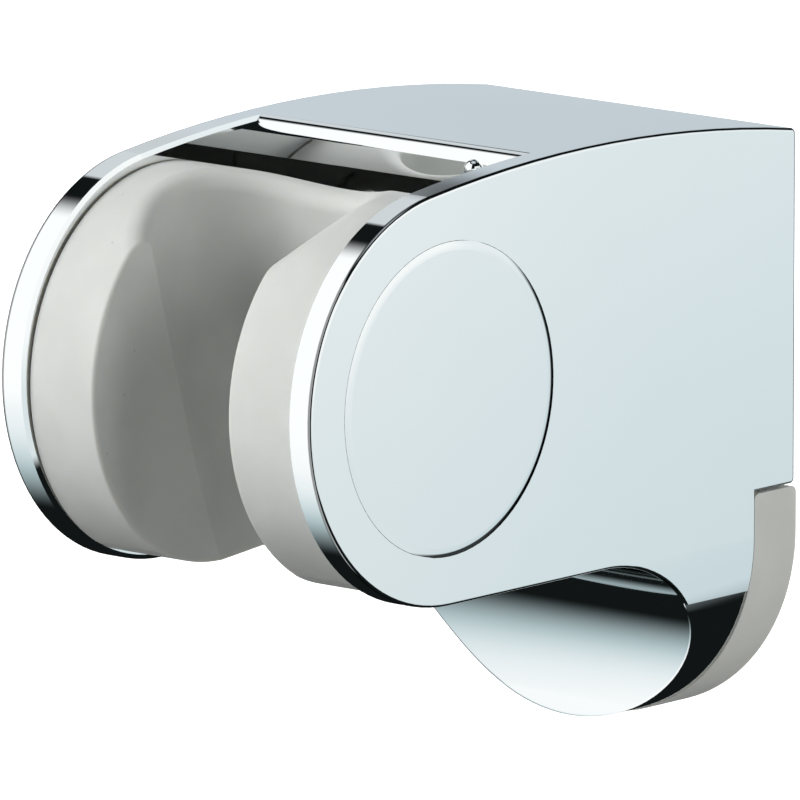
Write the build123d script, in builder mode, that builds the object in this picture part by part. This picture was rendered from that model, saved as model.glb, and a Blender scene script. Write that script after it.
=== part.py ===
from build123d import *
from math import atan2, cos, radians, sin, sqrt, tan
import os

os.makedirs("parts", exist_ok=True)

# Wall-mounted holder for a hand shower: a chrome-plated housing slides down over a grey
# wall plate, and a grey cradle with a tapered open socket turns between its two cheeks.
# Millimetres, Z up, wall face on the plane Y = 0, the front looks towards -Y.
# X = 0 is the middle plane and Z = 0 the middle of the two screw holes.

# Overall housing
width = 50.0
cheek_t = 3.7
wall_t = 2.4
wall_gap = 0.2
edge_r = 0.45
lip_r = 1.9
rim_bevel_w = 0.3
rim_bevel_d = 0.6
lip_drop = 4.6
window_run = 9.0
window_z = 20.0
bead_r = 1.2
bead_x = 14.0
bead_drop = 2.5

# Side outline of the housing
pivot_y = -65.6
pivot_z = 7.85
cheek_lap = 1.0
top_rise = 2.05
top_run = 29.1
notch_z = -12.0
cove_r = 22.5
opening_y = -48.4
under_lip_y = -52.0
corner_r = 0.7

# Foot of the wall plate and the tongue of the housing in front of it
tongue_end = 2.65
foot_t = 8.0
tongue_t = 5.7
seam = 0.1
notch_gap = 0.3
crease_z = -24.5
crease_step = 0.2
foot_edge_r = 0.8

# Wall plate inside the housing
plate_t = 4.0
plate_top_z = 29.0
plate_corner_r = 3.0
flange_t = 2.4
rail_w = 1.6
rail_gap = 0.2
hole_pitch = 30.0
hole_r = 2.3
head_r = 4.8
head_floor_t = 2.5
core_wall = 2.0

# Cradle
cradle_r = 24.4
drum_drop = 0.6
bay_gap = 0.3
pocket_gap = 0.5
bore_r = 12.4
bore_taper = 3.3
bore_tilt = 9.5
bore_lead = 2.8
mouth_half = 10.75
rim_r = 2.4
mouth_r = 0.6
keel_rise = 0.8
keel_lead = 1.1
keel_spread = 1.3

# Pivot: hub boss of the cheek, friction disc, screw, washers, insert and cap
hub_r = 9.0
hub_len = 2.5
hub_web = 1.5
hub_gap = 0.06
cup_r = 7.4
cap_r = 19.25
cap_gap = 0.06
cap_t = 1.5
cap_proud = 0.14
cap_slope_w = 1.1
collar_t = 1.2
collar_len = 1.8
disc_t = 1.0
disc_rim_gap = 0.3
screw_r = 2.0
screw_hole_gap = 0.15
screw_len = 7.6
head_h = 1.5
screw_head_r = 3.7
washer_t = 0.5
washer_r = 4.8
spring_t = 0.7
spring_r = 4.2
ring_gap = 0.15
insert_r = 3.1
insert_len = 4.4
fit_gap = 0.03
face_gap = 0.05
spring_split = 0.8
cross_w = 0.9

# Derived places
half_w = width / 2
bay_half = half_w - cheek_t
back_y = -wall_gap
cheek_r = cradle_r + cheek_lap
under_z = pivot_z - cheek_r
apex_y = pivot_y + top_run
apex_z = pivot_z + cheek_r + top_rise
top_r = (top_run**2 + (cheek_r + top_rise) ** 2 - cheek_r**2) / (2 * top_rise)
top_cz = apex_z - top_r
join_a = atan2(pivot_z - top_cz, pivot_y - apex_y)
join = (pivot_y + cheek_r * cos(join_a), pivot_z + cheek_r * sin(join_a))
foot_drop = cove_r + tongue_end - under_z
foot_cz = half_w - foot_drop
tongue_back_y = -foot_t - seam
tongue_y = tongue_back_y - tongue_t
cove_y = tongue_y - cove_r
cove_z = under_z - cove_r
drum_z = pivot_z - drum_drop
pocket_r = cradle_r + drum_drop + pocket_gap
shell_r = pocket_r + wall_t
foot_top_z = notch_z - notch_gap
core_top_z = -hole_pitch / 2 - head_r - core_wall
base_half = bay_half - rail_w - rail_gap
flange_half = bay_half - rail_gap
rail_t = plate_t - flange_t - rail_gap - wall_gap
hub_x = bay_half - hub_len
cup_x = hub_x + hub_web
cap_x = half_w + cap_proud - cap_t
disc_x = hub_x - disc_t
spring_x = cup_x + face_gap + washer_t
head_x = spring_x + spring_t
cradle_half = bay_half - bay_gap
keel_r = cradle_r + keel_spread
keel_z = drum_z + keel_spread + keel_rise
bore_axis = (0, -sin(radians(bore_tilt)), cos(radians(bore_tilt)))
bore_plane = Plane(origin=(0, pivot_y - bore_lead, pivot_z), x_dir=(1, 0, 0), z_dir=bore_axis)
bore_reach = cradle_r * 1.3


def top_at(y, inset=0.0):
    """Height of the arched top at depth y, or of its inside at a given wall."""
    return top_cz + sqrt((top_r - inset) ** 2 - (y - apex_y) ** 2)


def on_cove(angle, radius):
    """Point of the cove's arc in side view, the angle taken from its upright."""
    return (cove_y + radius * sin(radians(angle)), cove_z + radius * cos(radians(angle)))


lip_z = top_at(opening_y) - lip_drop
round_y = opening_y + lip_r
round_z = top_at(round_y, lip_r)
crest_share = top_r / (top_r - lip_r)
crest = (apex_y + (round_y - apex_y) * crest_share, top_cz + (round_z - top_cz) * crest_share)

# Hollow of the housing, open towards the wall: under the top, round the pocket of the
# cradle, over the underside and down behind the cove into the tongue.
with BuildPart() as hollow:
    with BuildSketch(Plane.YZ):
        with BuildLine():
            in_y = opening_y + wall_t
            in_z = under_z + wall_t
            p0 = (wall_gap, top_at(wall_gap, wall_t))
            p1 = (in_y, top_at(in_y, wall_t))
            p2 = (in_y, in_z)
            p3 = (cove_y, in_z)
            p4 = on_cove(90, cove_r + wall_t)
            p5 = (p4[0], -foot_drop + wall_t)
            p6 = (wall_gap, p5[1])
            ThreePointArc(p0, ((p0[0] + p1[0]) / 2, top_at((p0[0] + p1[0]) / 2, wall_t)), p1)
            Line(p1, p2)
            Line(p2, p3)
            ThreePointArc(p3, on_cove(45, cove_r + wall_t), p4)
            Polyline(p4, p5, p6, p0)
        make_face()
        with Locations((pivot_y, pivot_z)):
            Circle(shell_r, mode=Mode.SUBTRACT)
    extrude(amount=bay_half, both=True)
    with BuildSketch(Plane.XZ):
        with Locations((0, foot_cz)):
            Circle(bay_half)
        with Locations((0, foot_cz)):
            Rectangle(2 * bay_half, apex_z - foot_cz + wall_t, align=(Align.CENTER, Align.MIN))
    extrude(amount=-2 * pivot_y, both=True, mode=Mode.INTERSECT)

# Housing: side outline drawn once and pulled to the full width, cut to the round-footed
# front outline, then opened for the cradle and hollowed from behind.
with BuildPart() as housing:
    with BuildSketch(Plane.YZ):
        with BuildLine():
            back_top = (back_y, top_at(back_y))
            low = (pivot_y, under_z)
            cove_end = on_cove(90, cove_r)
            ThreePointArc(back_top, (apex_y, apex_z), join)
            ThreePointArc(join, (pivot_y - cheek_r, pivot_z), low)
            Line(low, (cove_y, under_z))
            ThreePointArc((cove_y, under_z), on_cove(45, cove_r), cove_end)
            Polyline(
                cove_end,
                (tongue_y, -foot_drop),
                (tongue_back_y, -foot_drop),
                (tongue_back_y, notch_z),
                (back_y, notch_z),
                back_top,
            )
        make_face()
    extrude(amount=half_w, both=True)
    with BuildSketch(Plane.XZ):
        with Locations((0, foot_cz)):
            Circle(half_w)
        with Locations((0, foot_cz)):
            Rectangle(width, apex_z - foot_cz + wall_t, align=(Align.CENTER, Align.MIN))
    extrude(amount=-2 * pivot_y, both=True, mode=Mode.INTERSECT)
    across = housing.edges().filter_by(Axis.X)
    fillet(across.filter_by_position(Axis.Y, back_y - 0.01, back_y + 0.01), corner_r)
    rear = housing.edges().filter_by_position(Axis.Y, tongue_back_y - 0.01, 1)
    across = housing.edges().filter_by(Axis.X)
    fillet(housing.edges() - rear - across, edge_r)
    # Below a crease across its sides the round tongue stands back a little
    with BuildSketch(Plane.XZ):
        with Locations((0, crease_z)):
            Rectangle(2 * width, 2 * foot_drop, align=(Align.CENTER, Align.MAX))
        with Locations((0, foot_cz)):
            Circle(half_w - crease_step, mode=Mode.SUBTRACT)
    extrude(amount=-2 * pivot_y, both=True, mode=Mode.SUBTRACT)
    with BuildSketch(Plane.YZ):
        with Locations((pivot_y, pivot_z)):
            Circle(pocket_r)
        with Locations((crest[0], pivot_z)):
            Rectangle(width * 2, width * 2, align=(Align.MAX, Align.MIN))
        with Locations((under_lip_y, pivot_z)):
            Rectangle(width * 2, width * 2, align=(Align.MAX, Align.MAX))
        # Window behind the lip of the top, from the pocket into the hollow
        with Locations((opening_y, window_z)):
            Rectangle(window_run, lip_z - window_z, align=(Align.MIN, Align.MIN))
    extrude(amount=bay_half, both=True, mode=Mode.SUBTRACT)
    # Bevel along the inner edge of both cheeks, as far as the opening reaches
    for side_x in (1, -1):
        inner_x = side_x * bay_half
        cheek_walls = housing.faces().filter_by_position(Axis.X, inner_x - 0.01, inner_x + 0.01)
        cheek_wall = cheek_walls.sort_by(SortBy.AREA)[-1]
        rim = cheek_wall.edges().filter_by_position(Axis.Y, 2 * pivot_y, opening_y - 0.01)
        chamfer(rim - rim.filter_by(Axis.Z), rim_bevel_d, rim_bevel_w, reference=cheek_wall)
    # Lip of the top across the opening, its front edge broadly rounded
    with BuildSketch(Plane.YZ):
        with BuildLine():
            foot = (opening_y, round_z)
            bow = (round_y - lip_r * cos(radians(45)), round_z + lip_r * sin(radians(45)))
            ThreePointArc(foot, bow, crest)
            Polyline(crest, (crest[0], lip_z), (opening_y, lip_z), foot)
        make_face()
    extrude(amount=bay_half + rim_bevel_w, both=True)
    add(hollow.part, mode=Mode.SUBTRACT)
    # Small bead on the front wall of the opening, close to its right end
    with Locations((bead_x, opening_y, top_at(opening_y) - bead_drop)):
        Sphere(bead_r)
    # Hub bosses that the cradle turns on, with the recess of the cap and the screw's cup
    for side_x in (1, -1):
        inner = Plane(origin=(side_x * hub_x, pivot_y, pivot_z), z_dir=(side_x, 0, 0))
        with BuildSketch(inner):
            Circle(hub_r)
        extrude(amount=hub_len + cheek_t / 2)
        with BuildSketch(inner.offset(cap_x - hub_x)):
            Circle(cap_r + cap_gap)
        extrude(amount=cheek_t, mode=Mode.SUBTRACT)
        with BuildSketch(inner.offset(hub_web)):
            Circle(cup_r)
        extrude(amount=hub_len + cheek_t, mode=Mode.SUBTRACT)
        with BuildSketch(inner.offset(-hub_web)):
            Circle(screw_r + screw_hole_gap)
        extrude(amount=hub_len + cheek_t, mode=Mode.SUBTRACT)
        # Rail that hooks behind the flange of the wall plate
        rail_at = Plane(origin=(side_x * bay_half, back_y, (plate_top_z + notch_z) / 2))
        with BuildSketch(rail_at):
            Rectangle(2 * rail_w, rail_t, align=(Align.CENTER, Align.MAX))
        extrude(amount=(plate_top_z - notch_z) / 2 - rail_w, both=True)

housing.part.label = "housing"
export_step(housing.part, "parts/housing.step")

# Wall plate: a narrow back that lies on the wall, a wider flange in front of it that the
# rails hook behind, and the round foot that shows below the housing.
with BuildPart() as wall_plate:
    with BuildSketch(Plane.XZ):
        with BuildLine():
            ThreePointArc((half_w, foot_cz), (0, -foot_drop), (-half_w, foot_cz))
            Polyline(
                (-half_w, foot_cz),
                (-half_w, foot_top_z),
                (half_w, foot_top_z),
                (half_w, foot_cz),
            )
        make_face()
    extrude(amount=foot_t)
    fillet(wall_plate.edges().filter_by(Axis.X), foot_edge_r)
    with BuildSketch(Plane.XZ):
        with Locations((0, foot_cz)):
            RectangleRounded(
                2 * base_half, plate_top_z - foot_cz, plate_corner_r, align=(Align.CENTER, Align.MIN)
            )
    extrude(amount=plate_t)
    with BuildSketch(Plane.XZ.offset(plate_t - flange_t)):
        with Locations((0, foot_cz)):
            RectangleRounded(
                2 * flange_half, plate_top_z - foot_cz, plate_corner_r, align=(Align.CENTER, Align.MIN)
            )
    extrude(amount=flange_t)
    for hole_z in (-hole_pitch / 2, hole_pitch / 2):
        with BuildSketch(Plane.XZ):
            with Locations((0, hole_z)):
                Circle(hole_r)
        extrude(amount=foot_t, mode=Mode.SUBTRACT)
        with BuildSketch(Plane.XZ.offset(head_floor_t)):
            with Locations((0, hole_z)):
                Circle(head_r)
        extrude(amount=foot_t, mode=Mode.SUBTRACT)

    # The thick foot is cored from behind, with a rib down its middle
    with BuildSketch(Plane.XZ):
        with Locations((0, foot_cz)):
            Circle(half_w - core_wall)
        with Locations((0, core_top_z)):
            Rectangle(2 * width, 2 * width, align=(Align.CENTER, Align.MIN), mode=Mode.SUBTRACT)
        Rectangle(core_wall, 2 * foot_drop, mode=Mode.SUBTRACT)
    extrude(amount=foot_t - core_wall, mode=Mode.SUBTRACT)

wall_plate.part.label = "wall_plate"
export_step(wall_plate.part, "parts/wall_plate.step")

# Cradle: a drum across the housing with a tapered socket for the handle, open to the
# front for the hose, with a slightly flatter round under it.
with BuildPart() as cradle:
    with BuildSketch(Plane.YZ):
        with Locations((pivot_y, drum_z)):
            Circle(cradle_r)
        with Locations((pivot_y, keel_z - keel_r)):
            Rectangle(2 * width, width, align=(Align.CENTER, Align.MAX), mode=Mode.SUBTRACT)
    extrude(amount=cradle_half, both=True)
    with BuildSketch(bore_plane.offset(-bore_reach)):
        Circle(bore_r - bore_reach * tan(radians(bore_taper)))
    extrude(amount=2 * bore_reach, taper=-bore_taper, mode=Mode.SUBTRACT)
    with BuildSketch(bore_plane.offset(-bore_reach)):
        Rectangle(2 * mouth_half, 2 * cradle_r, align=(Align.CENTER, Align.MAX))
    extrude(amount=2 * bore_reach, mode=Mode.SUBTRACT)
    # Wide round on the rim of the socket, then a small one down both lips of the mouth
    drum = cradle.faces().filter_by(GeomType.CYLINDER).sort_by(SortBy.AREA)[-1]
    upper = drum.edges().filter_by_position(Axis.Z, pivot_z, apex_z)
    fillet(upper.filter_by(GeomType.BSPLINE), rim_r)
    drum = cradle.faces().filter_by(GeomType.CYLINDER).sort_by(SortBy.AREA)[-1]
    lip_edges = [e for e in drum.edges() if abs(abs((e @ 0.5).X) - mouth_half) < 0.01]
    fillet(lip_edges, mouth_r)
    # Underside trimmed to a flatter round than the drum's, which leaves a crease
    with BuildSketch(Plane.YZ):
        with Locations((pivot_y - keel_lead, keel_z)):
            Circle(keel_r)
    extrude(amount=width, both=True, mode=Mode.INTERSECT)
    for side_x in (1, -1):
        hub = Plane(origin=(side_x * disc_x, pivot_y, pivot_z), z_dir=(side_x, 0, 0))
        with BuildSketch(hub):
            Circle(hub_r + hub_gap)
        extrude(amount=width, mode=Mode.SUBTRACT)
        with BuildSketch(hub.offset(-insert_len)):
            Circle(insert_r + fit_gap)
        extrude(amount=width, mode=Mode.SUBTRACT)

cradle.part.label = "cradle"
export_step(cradle.part, "parts/cradle.step")

# Pivot of the right cheek, from the cradle outwards, each piece laid on the one before.
axle = Plane(origin=(disc_x, pivot_y, pivot_z), z_dir=(1, 0, 0))

# Friction disc between the floor of the drum's socket and the end of the hub
with BuildPart() as right_friction_disc:
    with BuildSketch(axle):
        Circle(hub_r - disc_rim_gap)
        Circle(insert_r, mode=Mode.SUBTRACT)
    extrude(amount=disc_t - face_gap)

right_friction_disc.part.label = "right_friction_disc"
export_step(right_friction_disc.part, "parts/right_friction_disc.step")

# Threaded brass insert pressed into the drum
with BuildPart() as right_insert:
    with BuildSketch(axle):
        Circle(insert_r)
        Circle(screw_r + fit_gap, mode=Mode.SUBTRACT)
    extrude(amount=-insert_len)

right_insert.part.label = "right_insert"
export_step(right_insert.part, "parts/right_insert.step")

# Flat washer on the floor of the hub's cup
with BuildPart() as right_washer:
    with BuildSketch(axle.offset(cup_x - disc_x + face_gap)):
        Circle(washer_r)
        Circle(screw_r + ring_gap, mode=Mode.SUBTRACT)
    extrude(amount=washer_t)

right_washer.part.label = "right_washer"
export_step(right_washer.part, "parts/right_washer.step")

# Split spring washer that keeps the friction up
with BuildPart() as right_spring_washer:
    with BuildSketch(axle.offset(spring_x - disc_x)):
        Circle(spring_r)
        Circle(screw_r + ring_gap, mode=Mode.SUBTRACT)
        with Locations((0, spring_r)):
            Rectangle(spring_split, 2 * (spring_r - screw_r), mode=Mode.SUBTRACT)
    extrude(amount=spring_t)

right_spring_washer.part.label = "right_spring_washer"
export_step(right_spring_washer.part, "parts/right_spring_washer.step")

# Pan-head screw with a cross recess, turned into the insert
with BuildPart() as right_screw:
    with BuildSketch(axle.offset(head_x - disc_x)):
        Circle(screw_head_r)
    extrude(amount=head_h)
    chamfer(right_screw.faces().sort_by(Axis.X)[-1].edges(), head_h / 2)
    with BuildSketch(axle.offset(head_x - disc_x)):
        Circle(screw_r)
    extrude(amount=-screw_len)
    chamfer(right_screw.faces().sort_by(Axis.X)[0].edges(), screw_r / 4)
    with BuildSketch(axle.offset(head_x - disc_x + head_h / 3)):
        Rectangle(screw_head_r, cross_w)
        Rectangle(cross_w, screw_head_r)
    extrude(amount=head_h, mode=Mode.SUBTRACT)

right_screw.part.label = "right_screw"
export_step(right_screw.part, "parts/right_screw.step")

# Round cap that closes the cup: a disc whose rim slopes softly down to the cheek, with a
# collar pressed into the cup
with BuildPart() as right_cap:
    with BuildSketch(Plane.XY.offset(pivot_z)):
        with BuildLine():
            slope_top = (half_w + cap_proud, pivot_y - cap_r + cap_slope_w)
            slope_foot = (half_w, pivot_y - cap_r)
            TangentArc(slope_top, slope_foot, tangent=(0, -1))
            Polyline(
                slope_foot,
                (cap_x, pivot_y - cap_r),
                (cap_x, pivot_y),
                (half_w + cap_proud, pivot_y),
                slope_top,
            )
        make_face()
    revolve(axis=Axis((0, pivot_y, pivot_z), (1, 0, 0)))
    with BuildSketch(axle.offset(cap_x - disc_x)):
        Circle(cup_r - cap_gap)
        Circle(cup_r - cap_gap - collar_t, mode=Mode.SUBTRACT)
    extrude(amount=-collar_len)

right_cap.part.label = "right_cap"
export_step(right_cap.part, "parts/right_cap.step")

# The left cheek's pivot is the mirror image of the right one's.
with BuildPart() as left_friction_disc:
    mirror(right_friction_disc.part, about=Plane.YZ)

left_friction_disc.part.label = "left_friction_disc"
export_step(left_friction_disc.part, "parts/left_friction_disc.step")

with BuildPart() as left_insert:
    mirror(right_insert.part, about=Plane.YZ)

left_insert.part.label = "left_insert"
export_step(left_insert.part, "parts/left_insert.step")

with BuildPart() as left_washer:
    mirror(right_washer.part, about=Plane.YZ)

left_washer.part.label = "left_washer"
export_step(left_washer.part, "parts/left_washer.step")

with BuildPart() as left_spring_washer:
    mirror(right_spring_washer.part, about=Plane.YZ)

left_spring_washer.part.label = "left_spring_washer"
export_step(left_spring_washer.part, "parts/left_spring_washer.step")

with BuildPart() as left_screw:
    mirror(right_screw.part, about=Plane.YZ)

left_screw.part.label = "left_screw"
export_step(left_screw.part, "parts/left_screw.step")

with BuildPart() as left_cap:
    mirror(right_cap.part, about=Plane.YZ)

left_cap.part.label = "left_cap"
export_step(left_cap.part, "parts/left_cap.step")
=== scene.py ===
# %% [markdown]
# # A wall-mounted holder for a hand shower
#
# A chrome-plated housing slides down over a grey plate on the wall. Between its two cheeks turns
# a grey plastic cradle with a tapered socket for the handle of the shower. The solids come from
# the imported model, in metres, with the wall on the plane Y = 0, Z up and the front towards -Y.
# Their shapes are right as they are, so this lesson models nothing new: it gives the solids their
# finishes, sets up a small studio and aims the camera.

# %% Load the solids
from math import cos, radians, sin

import bpy
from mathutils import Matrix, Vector

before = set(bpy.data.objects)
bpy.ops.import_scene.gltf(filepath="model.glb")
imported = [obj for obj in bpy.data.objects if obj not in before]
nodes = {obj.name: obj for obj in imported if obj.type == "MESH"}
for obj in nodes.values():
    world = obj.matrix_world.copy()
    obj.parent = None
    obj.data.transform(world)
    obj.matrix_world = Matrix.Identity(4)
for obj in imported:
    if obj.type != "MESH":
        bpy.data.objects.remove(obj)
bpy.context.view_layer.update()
print("solids:", sorted(nodes))

# %% [markdown]
# ## Nodes
#
# Every finish is a tree of nodes. It could be joined up by hand in the shader editor, but a script
# can be read and run again. Two helpers keep that short: one adds a node with its settings, and one
# joins an output to an input. They also serve the floor, the tent and the world, which have node
# trees of their own.

# %% Add nodes and join them
def add_node(finish, kind, **values):
    """A node of the finish; values named like an input are set on it, others on the node itself."""
    node = finish.node_tree.nodes.new(kind)
    for name, value in values.items():
        socket = name.replace("_", " ").title()
        if socket in node.inputs:
            node.inputs[socket].default_value = value
        else:
            setattr(node, name, value)
    return node


def join(finish, source, target):
    """Links an output to an input."""
    finish.node_tree.links.new(source, target)


# %% [markdown]
# ## Values on a surface
#
# A finish is steered by values that change from place to place, such as where a point lies on its
# solid, or which way the surface faces there. Object coordinates are the same metres for every
# solid, so a length means the same on a washer and on the housing. The helpers read such a value,
# stretch it onto a range, and reckon with it.

# %% Read, stretch and reckon
MM = 0.001


def coordinates(finish, source):
    """Where a point lies on its solid ("Object"), or which way its surface faces ("Normal")."""
    return add_node(finish, "ShaderNodeTexCoord").outputs[source]


def spread(finish, source, low, high, start=0.3, end=0.7):
    """Stretches start to end, by default where most noise lies, onto low to high, with soft ends."""
    ramp = add_node(finish, "ShaderNodeMapRange", interpolation_type="SMOOTHSTEP")
    for socket, value in zip(("From Min", "From Max", "To Min", "To Max"), (start, end, low, high)):
        ramp.inputs[socket].default_value = value
    join(finish, source, ramp.inputs["Value"])
    return ramp.outputs["Result"]


def reckon(finish, operation, first, second=0.0):
    """Arithmetic on numbers or on the outputs of nodes."""
    node = add_node(finish, "ShaderNodeMath", operation=operation)
    for socket, value in zip(node.inputs, (first, second)):
        if isinstance(value, (int, float)):
            socket.default_value = value
        else:
            join(finish, value, socket)
    return node.outputs[0]


# %% [markdown]
# ## Painted dark lines on the chrome
#
# Just inside each side face, along the rims and the top, the rounded edges of the housing are
# painted darker than the plating around them. This is a painted reflection: it widens the dark line
# that those rounds reflect. The side faces themselves stay clean, so the painted line is kept off
# any surface that faces sideways.
#
# The edge of each cap slopes down to a seam. Where that slope turns down and towards the wall, it is
# painted dark: painted shade for the seam, which no light gets into.
#
# Both are painted by the material, which finds their places by where a point lies and which way its
# surface faces.

# %% Painted dark edge and seam shade
DARK_EDGE_X = 24.62 * MM
DARK_EDGE_REACH = 0.24 * MM
DARK_EDGE_CORE = DARK_EDGE_REACH / 3
DARK_EDGE_SHADE = 0.3
FACING_SIDEWAYS = (0.75, 0.9)
SEAM_SIDE = (0, 0.6, -0.8)
SEAM_TILT = (0.10, 0.13)
SEAM_SHADE = 0.04


def sideways(finish, source):
    """How far a coordinate lies to either side."""
    axes = add_node(finish, "ShaderNodeSeparateXYZ")
    join(finish, coordinates(finish, source), axes.inputs[0])
    return reckon(finish, "ABSOLUTE", axes.outputs["X"])


def painted_dark_edge(finish):
    """Painted reflection: DARK_EDGE_SHADE on the dark line along the edge rounds, 1 elsewhere."""
    from_line = reckon(finish, "SUBTRACT", sideways(finish, "Object"), DARK_EDGE_X)
    from_line = reckon(finish, "ABSOLUTE", from_line)
    line = spread(finish, from_line, DARK_EDGE_SHADE, 1.0, start=DARK_EDGE_CORE, end=DARK_EDGE_REACH)
    side_face = spread(finish, sideways(finish, "Normal"), 0.0, 1.0, *FACING_SIDEWAYS)
    return reckon(finish, "MAXIMUM", line, side_face)


def painted_seam_shade(finish):
    """Painted shade: SEAM_SHADE where the sloping edge of a cap turns down and back, 1 elsewhere."""
    tilt = add_node(finish, "ShaderNodeVectorMath", operation="DOT_PRODUCT")
    tilt.inputs[1].default_value = SEAM_SIDE
    join(finish, coordinates(finish, "Normal"), tilt.inputs[0])
    return spread(finish, tilt.outputs["Value"], 1.0, SEAM_SHADE, *SEAM_TILT)


# %% [markdown]
# ## Colour and relief
#
# No moulded or plated surface is even all over. A picture of a real surface could be wrapped round
# each solid, but noise needs no picture and no unwrapping, and stays sharp close up. The helpers
# make noise of a known size, and turn a value into colour, shade or fine relief. A Mix node has a
# set of sockets for each kind of data, so those that mix colours are named by number here.

# %% Noise, colour and relief
MIX_SHARE, MIX_FIRST, MIX_SECOND, MIX_RESULT = 0, 6, 7, 2


def noise(finish, size_mm, detail=3.0):
    """Noise whose lumps are about the given size."""
    cloud = add_node(finish, "ShaderNodeTexNoise", scale=1 / (size_mm * MM), detail=detail)
    join(finish, coordinates(finish, "Object"), cloud.inputs["Vector"])
    return cloud.outputs["Fac"]


def tint(finish, source, first, second):
    """A colour that runs from the first to the second as a value goes from 0 to 1."""
    blend = add_node(finish, "ShaderNodeMix", data_type="RGBA")
    blend.inputs[MIX_FIRST].default_value = (*first, 1)
    blend.inputs[MIX_SECOND].default_value = (*second, 1)
    join(finish, source, blend.inputs[MIX_SHARE])
    return blend.outputs[MIX_RESULT]


def shade(finish, colour, value):
    """A colour made darker by a value below 1."""
    blend = add_node(finish, "ShaderNodeMix", data_type="RGBA", blend_type="MULTIPLY")
    blend.inputs[MIX_SHARE].default_value = 1.0
    join(finish, colour, blend.inputs[MIX_FIRST])
    join(finish, value, blend.inputs[MIX_SECOND])
    return blend.outputs[MIX_RESULT]


def relief(finish, surface, height, depth_mm):
    """Fine relief of a given depth on a surface."""
    bump = add_node(finish, "ShaderNodeBump", distance=depth_mm * MM)
    join(finish, height, bump.inputs["Height"])
    join(finish, bump.outputs["Normal"], surface.inputs["Normal"])


# %% [markdown]
# ## Chrome plating
#
# The housing is moulded plastic under bright chrome. Chrome is a mirror, so most of its look is
# what stands around it. A mirror of one colour and one gloss would be quicker, but looks like no
# real thing. This plating adds a little: a faint cool cast, a gloss that drops a touch where it has
# been wiped, and a very long, shallow waviness from the moulded plastic below, which bends
# reflections the way a real plated part does. The caps are plated in another batch and are a shade
# softer, which is why they still read as separate discs on the cheeks.

# %% Plate the housing and the caps
WIPE_MM = 14.0
WAVE_MM = 30.0
WAVE_DEPTH_MM = 0.004


def new_finish(name, **sockets):
    """A material with a Principled surface, its constant values set on the surface's own sockets."""
    finish = bpy.data.materials.new(name)
    finish.use_nodes = True
    surface = finish.node_tree.nodes["Principled BSDF"]
    for socket, value in sockets.items():
        surface.inputs[socket.replace("_", " ")].default_value = value
    return finish, surface


def plating(name, pale, cool, gloss, mark):
    """Chrome between two casts, with a range of roughness and its painted dark mark."""
    finish, surface = new_finish(name, Metallic=1.0)
    wiped = noise(finish, WIPE_MM)
    colour = shade(finish, tint(finish, wiped, cool, pale), mark(finish))
    join(finish, colour, surface.inputs["Base Color"])
    join(finish, spread(finish, wiped, *gloss), surface.inputs["Roughness"])
    relief(finish, surface, noise(finish, WAVE_MM, detail=0.0), WAVE_DEPTH_MM)
    return finish


def dress(finish, *names):
    """Gives a finish to solids."""
    for name in names:
        nodes[name].data.materials.clear()
        nodes[name].data.materials.append(finish)
    print(finish.name, "on", ", ".join(names))


# The housing carries the painted dark edge line, a painted reflection; the caps carry the painted
# seam shade.
housing_chrome = plating(
    "housing_chrome",
    pale=(0.93, 0.945, 0.95), cool=(0.90, 0.925, 0.935), gloss=(0.015, 0.04), mark=painted_dark_edge,
)
cap_chrome = plating(
    "cap_chrome",
    pale=(0.92, 0.935, 0.945), cool=(0.89, 0.915, 0.93), gloss=(0.03, 0.06), mark=painted_seam_shade,
)
dress(housing_chrome, "housing")
dress(cap_chrome, "right_cap", "left_cap")

# %% [markdown]
# ## Grey plastic
#
# The cradle and the wall plate are moulded from a warm grey plastic with a satin skin. Plain grey
# would look like painted metal, because plastic lets a little light in, so that thin lips glow and
# edges look soft: a share of subsurface light does that. The skin has a fine grain, faint cloudy
# flow marks and a few dark specks in the moulding.

# %% Mould the cradle and the wall plate
FLOW_MM = 9.0
SPECK_APART_MM = 7.0
SPECK_SIZE = (0.02, 0.035)
SPECK_SHADE = 0.8
GRAIN_MM = 0.35
GRAIN_DEPTH_MM = 0.006
GLOW_DEPTH_MM = 1.6
GLOW_COLOUR = (1.0, 0.8, 0.5)
PLASTIC_IOR = 1.5


def moulding(name, pale, dark, gloss, glow):
    """Plastic between two greys, with a range of roughness and a share of light let in."""
    finish, surface = new_finish(
        name,
        Subsurface_Weight=glow,
        Subsurface_Scale=GLOW_DEPTH_MM * MM,
        Subsurface_Radius=GLOW_COLOUR,
        IOR=PLASTIC_IOR,
    )
    body = tint(finish, spread(finish, noise(finish, FLOW_MM), 0.0, 1.0), dark, pale)
    cells = add_node(finish, "ShaderNodeTexVoronoi", scale=1 / (SPECK_APART_MM * MM))
    join(finish, coordinates(finish, "Object"), cells.inputs["Vector"])
    speck = spread(finish, cells.outputs["Distance"], SPECK_SHADE, 1.0, *SPECK_SIZE)
    join(finish, shade(finish, body, speck), surface.inputs["Base Color"])
    grain = noise(finish, GRAIN_MM)
    join(finish, spread(finish, grain, *gloss), surface.inputs["Roughness"])
    relief(finish, surface, grain, GRAIN_DEPTH_MM)
    return finish


cradle_grey = moulding(
    "cradle_grey",
    pale=(0.465, 0.477, 0.46), dark=(0.43, 0.442, 0.425), gloss=(0.30, 0.40), glow=0.35,
)
plate_grey = moulding(
    "plate_grey",
    pale=(0.57, 0.58, 0.55), dark=(0.54, 0.55, 0.52), gloss=(0.38, 0.5), glow=0.15,
)
dress(cradle_grey, "cradle")
dress(plate_grey, "wall_plate")

# %% [markdown]
# ## Pieces inside the pivot
#
# Nothing of the pivot shows from outside, and one flat colour for each piece would never be noticed
# there. But a part may be taken to pieces, so each has the finish it would have on a bench: dull
# black rubber for the friction discs, yellow brass for the threaded inserts, and bright zinc with
# a faint bluish cast for the screws and washers. They differ in numbers only, so one function
# makes all three.

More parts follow.
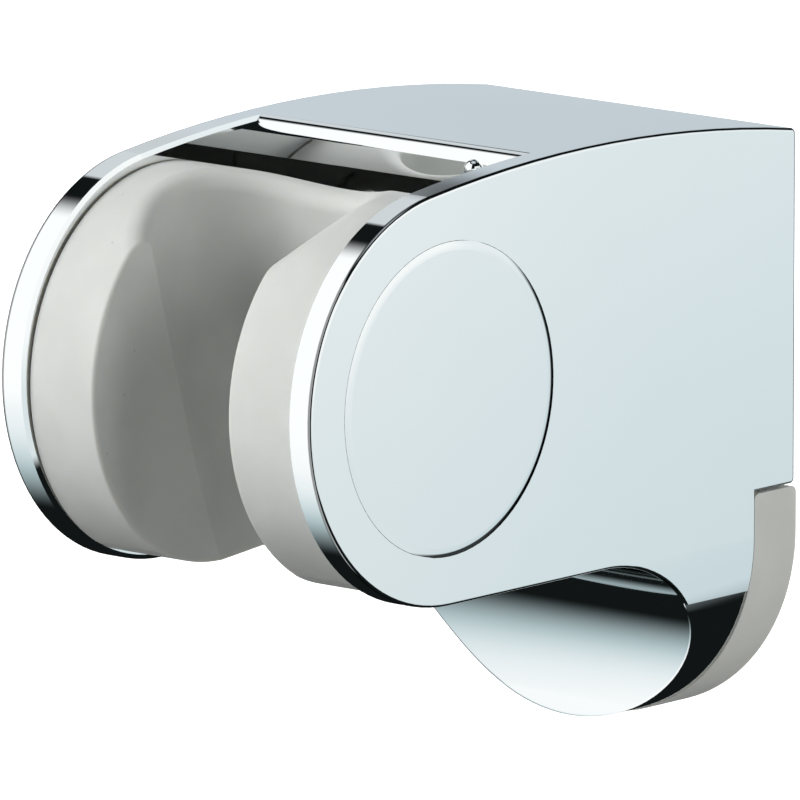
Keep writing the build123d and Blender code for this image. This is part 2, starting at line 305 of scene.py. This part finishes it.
# %% Rubber, brass and zinc
def simple_finish(name, pale, dark, gloss, grain_mm, depth_mm, metal):
    """A grained finish between two colours, with a range of roughness."""
    finish, surface = new_finish(name, Metallic=metal)
    grain = noise(finish, grain_mm)
    colour = tint(finish, spread(finish, grain, 0.0, 1.0), dark, pale)
    join(finish, colour, surface.inputs["Base Color"])
    join(finish, spread(finish, grain, *gloss), surface.inputs["Roughness"])
    relief(finish, surface, grain, depth_mm)
    return finish


rubber = simple_finish(
    "disc_rubber", pale=(0.045, 0.045, 0.047), dark=(0.03, 0.03, 0.032), gloss=(0.6, 0.8),
    grain_mm=0.5, depth_mm=0.02, metal=0.0,
)
brass = simple_finish(
    "insert_brass", pale=(0.80, 0.58, 0.27), dark=(0.70, 0.49, 0.22), gloss=(0.2, 0.32),
    grain_mm=0.8, depth_mm=0.004, metal=1.0,
)
zinc = simple_finish(
    "zinc_steel", pale=(0.72, 0.75, 0.78), dark=(0.62, 0.65, 0.68), gloss=(0.22, 0.36),
    grain_mm=0.7, depth_mm=0.004, metal=1.0,
)
for hand in ("right", "left"):
    dress(rubber, hand + "_friction_disc")
    dress(brass, hand + "_insert")
    dress(zinc, hand + "_screw", hand + "_washer", hand + "_spring_washer")

# %% [markdown]
# ## Camera
#
# The camera stands to the right of the holder and a little above it, far away with a long lens,
# so that the sides run nearly parallel. It could be placed by coordinates, but angles are easier
# to set against a photograph: azimuth and elevation fix the direction, and the aim point and the
# distance fix the frame.

# %% Aim the camera
CAMERA_AZIMUTH = radians(40.88)
CAMERA_ELEVATION = radians(10.67)
CAMERA_DISTANCE = 2.0716
CAMERA_REACH = 20.0
CAMERA_AIM = Vector((-6.73, -38.09, -0.08)) * MM
SENSOR_MM = 36.0
FRAME_PX = 800
FOCAL_PX = 16852.0

towards_camera = Vector((
    sin(CAMERA_AZIMUTH) * cos(CAMERA_ELEVATION),
    -cos(CAMERA_AZIMUTH) * cos(CAMERA_ELEVATION),
    sin(CAMERA_ELEVATION),
))
lens = bpy.data.cameras.new("camera")
lens.sensor_width = SENSOR_MM
lens.lens = FOCAL_PX / FRAME_PX * SENSOR_MM
lens.clip_end = CAMERA_REACH
camera = bpy.data.objects.new("camera", lens)
camera.location = CAMERA_AIM + towards_camera * CAMERA_DISTANCE
camera.rotation_euler = (-towards_camera).to_track_quat("-Z", "Y").to_euler()
bpy.context.scene.collection.objects.link(camera)
bpy.context.scene.camera = camera
print("camera at", [round(c, 3) for c in camera.location], "lens", round(lens.lens, 1), "mm")

# %% [markdown]
# ## Floor
#
# The holder hangs clear of a plain pale floor. More light would turn the floor white, but would
# spoil the holder. So the floor gives the camera some white of its own: half of it below the
# holder, where the lamps add the rest and leave a soft shadow, and all of it further off, where
# the lamps fade. Reflections see the tent and not the floor.

# %% Lay the floor
FLOOR_Z = -0.16
FLOOR_WIDTH = 8.0
FLOOR_COLOUR = (0.45, 0.45, 0.45, 1)
FLOOR_LIFT = 0.5
FLOOR_FADE = (0.3, 0.7)


def bare_material(name):
    """A material that has no node yet."""
    material = bpy.data.materials.new(name)
    material.use_nodes = True
    material.node_tree.nodes.clear()
    return material


def show(material, shader):
    """Makes a shader the surface of a bare material."""
    out = add_node(material, "ShaderNodeOutputMaterial")
    join(material, shader.outputs[0], out.inputs["Surface"])


bpy.ops.mesh.primitive_plane_add(size=FLOOR_WIDTH, location=(0, 0, FLOOR_Z))
floor = bpy.context.object
floor.name = "floor"
floor_white = bare_material("floor_white")
reach = add_node(floor_white, "ShaderNodeVectorMath", operation="LENGTH")
join(floor_white, coordinates(floor_white, "Object"), reach.inputs[0])
white = spread(floor_white, reach.outputs["Value"], FLOOR_LIFT, 1.0, *FLOOR_FADE)
rays = add_node(floor_white, "ShaderNodeLightPath")
seen_white = reckon(floor_white, "MULTIPLY", rays.outputs["Is Camera Ray"], white)
lift = add_node(floor_white, "ShaderNodeEmission")
join(floor_white, seen_white, lift.inputs["Strength"])
matt = add_node(floor_white, "ShaderNodeBsdfDiffuse", color=FLOOR_COLOUR)
lifted = add_node(floor_white, "ShaderNodeAddShader")
join(floor_white, matt.outputs[0], lifted.inputs[0])
join(floor_white, lift.outputs[0], lifted.inputs[1])
show(floor_white, lifted)
floor.data.materials.append(floor_white)
floor.visible_glossy = False
print("floor", FLOOR_WIDTH, "m wide at Z", FLOOR_Z)

# %% [markdown]
# ## A tent for the chrome
#
# Chrome shows its surroundings, so they decide its look. A photographer stands such a part among
# sheets of cloth. They could be planes set up one by one, but cloths painted on one dome about the
# holder are easier to shift. A direction on the dome has a compass bearing and a rise above the
# level, both in degrees. The bearing is reckoned from the wall behind, where it grows towards the
# right, and once more from the front, where it grows towards the left, because a bearing jumps
# where it closes its circle and no cloth should hang across that jump.

# %% Dome with its bearings
TENT_RADIUS = 0.6
TENT_CENTRE = Vector((0, -0.045, 0.0))

bpy.ops.mesh.primitive_uv_sphere_add(
    segments=64, ring_count=32, radius=TENT_RADIUS, location=TENT_CENTRE
)
tent = bpy.context.object
tent.name = "tent"
cloth = bare_material("tent_cloth")
unit = add_node(cloth, "ShaderNodeVectorMath", operation="NORMALIZE")
join(cloth, coordinates(cloth, "Object"), unit.inputs[0])
parts = add_node(cloth, "ShaderNodeSeparateXYZ")
join(cloth, unit.outputs[0], parts.inputs[0])
east, north, height = parts.outputs
rise = reckon(cloth, "DEGREES", reckon(cloth, "ARCSINE", height))
from_wall = reckon(cloth, "DEGREES", reckon(cloth, "ARCTAN2", east, north))
west, south = (reckon(cloth, "MULTIPLY", way, -1) for way in (east, north))
from_front = reckon(cloth, "DEGREES", reckon(cloth, "ARCTAN2", west, south))
print("tent of radius", TENT_RADIUS, "m about", [round(c, 3) for c in TENT_CENTRE])

# %% [markdown]
# ## Cloths
#
# Each cloth covers a range of bearings and a range of rises. Every end of a range is soft, and is
# given as the two angles between which the cloth fades. Some cloths also change colour along their
# bearing, as cloth does when the light on it falls off. Real cloths overlap, and so do these: each
# one is mixed over those that hang already.

# %% Colours and cuts of cloth
WHITE = (1.07, 1.08, 1.08)
COOL_WHITE = (0.88, 1.08, 1.12)
LIGHT = (1.0, 1.02, 1.01)
LIGHT_FAR = (0.87, 0.92, 0.93)
PALE = (0.755, 0.823, 0.836)
PALE_FAR = (0.628, 0.731, 0.757)
MIST = (0.66, 0.70, 0.72)
BLUE_GREY = (0.59, 0.655, 0.70)
BLUE_GREY_FAR = (0.54, 0.615, 0.65)
DARK = (0.006, 0.008, 0.008)


def plain(colour):
    """Cloth of one colour."""
    node = add_node(cloth, "ShaderNodeRGB")
    node.outputs[0].default_value = (*colour, 1)
    return node.outputs[0]


def shot(bearing, first, last, start, end):
    """Cloth that changes colour between two bearings."""
    return tint(cloth, spread(cloth, bearing, 0.0, 1.0, start, end), first, last)


def within(value, low, high):
    """1 between two soft ends, each given as the values between which it fades, and 0 outside."""
    rising = spread(cloth, value, 0.0, 1.0, *low)
    falling = spread(cloth, value, 1.0, 0.0, *high)
    return reckon(cloth, "MULTIPLY", rising, falling)


def hang(under, colour, bearing, low, high, bottom, top):
    """Lays a cloth over what hangs there already."""
    blend = add_node(cloth, "ShaderNodeMix", data_type="RGBA")
    join(cloth, under, blend.inputs[MIX_FIRST])
    join(cloth, colour, blend.inputs[MIX_SECOND])
    share = reckon(cloth, "MULTIPLY", within(bearing, low, high), within(rise, bottom, top))
    join(cloth, share, blend.inputs[MIX_SHARE])
    return blend.outputs[MIX_RESULT]


# %% [markdown]
# ## Hanging the cloths
#
# Each row is one cloth, and each has its place on the chrome. The top of the housing shows the
# blue-grey cloth behind, and the upper ends of the rims show a misty one above it. The side shows
# the pale cloth on the right, with a lighter one laid over its upper part. The fronts of the rims
# show the white cloth to the front left. Its low part, which turns cooler and fades towards the
# left, shows in the lower ends of the rims and on the tongue below. The last cloth hangs overhead,
# for views from above.
#
# What no cloth covers stays dark. There is a gap to the right of the front, where the camera looks
# in, and one between the cloth behind and the cloth on the right, which draws the black crescent
# on the edge of the cap.

# %% Hang the cloths
behind = shot(from_wall, BLUE_GREY, BLUE_GREY_FAR, start=-46, end=-32)
right = shot(from_wall, PALE_FAR, PALE, start=36, end=50)
upper_right = shot(from_wall, LIGHT_FAR, LIGHT, start=40, end=46)
low_white = shot(from_front, WHITE, COOL_WHITE, start=38, end=66)
# colour, bearing, then the soft ends in degrees: first side, last side, bottom, top
cloths = (
    (behind, from_wall, (-69, -66), (-2, 8), (-18, 0), (20, 26)),
    (plain(MIST), from_wall, (-69, -66), (-47, -42), (14, 26), (52, 56)),
    (right, from_wall, (26, 34), (122, 126), (-33, -29), (33, 37)),
    (upper_right, from_wall, (26, 34), (122, 126), (-16, 4), (33, 37)),
    (low_white, from_front, (-18, -16), (33, 92), (-89, -80), (-10, 0)),
    (plain(WHITE), from_front, (-18, -16), (76, 96), (-20, -10), (58, 62)),
    (plain(BLUE_GREY), from_wall, (-190, -181), (181, 190), (66, 76), (91, 95)),
)
walls = plain(DARK)
for cut in cloths:
    walls = hang(walls, *cut)
glow = add_node(cloth, "ShaderNodeEmission")
join(cloth, walls, glow.inputs["Color"])
show(cloth, glow)
print(len(cloths), "cloths hang in the tent")

# %% [markdown]
# ## A tent that only reflections see
#
# A real tent has a hole for the camera and lets the lamps shine through. The dome would hide the
# holder and shut the lamps out, so it is simply hidden from every kind of ray but the glossy ones.

# %% Close the tent
tent.data.materials.append(cloth)
for polygon in tent.data.polygons:
    polygon.use_smooth = True
tent.visible_camera = False
tent.visible_diffuse = False
tent.visible_shadow = False
tent.visible_transmission = False
tent.visible_volume_scatter = False
print("tent seen by reflections alone")

# %% [markdown]
# ## Light for the plastic
#
# Broad lamps light the matt pieces: a key from the front left and above, a weaker one from the
# right for the edge of the wall plate, and one from behind for the views from there. Small lamps
# would draw hard shadows into the socket. They stay out of reflections, where the tent stands for
# them.

# %% Lamps
LAMP_SIZE = 0.8
LAMPS = (
    ("key_lamp", (-0.57, -1.04, 0.80), 32.0),
    ("right_lamp", (1.32, -0.04, 0.48), 12.0),
    ("back_lamp", (-0.45, 1.2, 0.45), 10.0),
)

for name, place, power in LAMPS:
    light = bpy.data.lights.new(name, "AREA")
    light.size = LAMP_SIZE
    light.energy = power
    lamp = bpy.data.objects.new(name, light)
    lamp.location = place
    lamp.rotation_euler = (TENT_CENTRE - Vector(place)).to_track_quat("-Z", "Y").to_euler()
    lamp.visible_glossy = False
    bpy.context.scene.collection.objects.link(lamp)
    print(name, "at", place, power, "W")

# %% [markdown]
# ## World
#
# The world is white to the camera and to reflections. A world that also lit the holder as brightly
# would fill every hollow, so it adds only a little light, and the inside of the socket stays in
# shade.

# %% World
AMBIENT = 0.03

world = bpy.data.worlds.new("studio")
bpy.context.scene.world = world
world.use_nodes = True
sky = world.node_tree.nodes["Background"]
sky.inputs["Color"].default_value = (1, 1, 1, 1)
rays = add_node(world, "ShaderNodeLightPath")
seen = reckon(world, "MAXIMUM", rays.outputs["Is Camera Ray"], rays.outputs["Is Glossy Ray"])
join(world, spread(world, seen, AMBIENT, 1.0, start=0.0, end=1.0), sky.inputs["Strength"])
print("world adds", AMBIENT, "of white light")

# %% [markdown]
# ## Finish
#
# Colours go to the screen as they are, without a film curve.

# %% Finish
bpy.context.scene.view_settings.view_transform = "Standard"
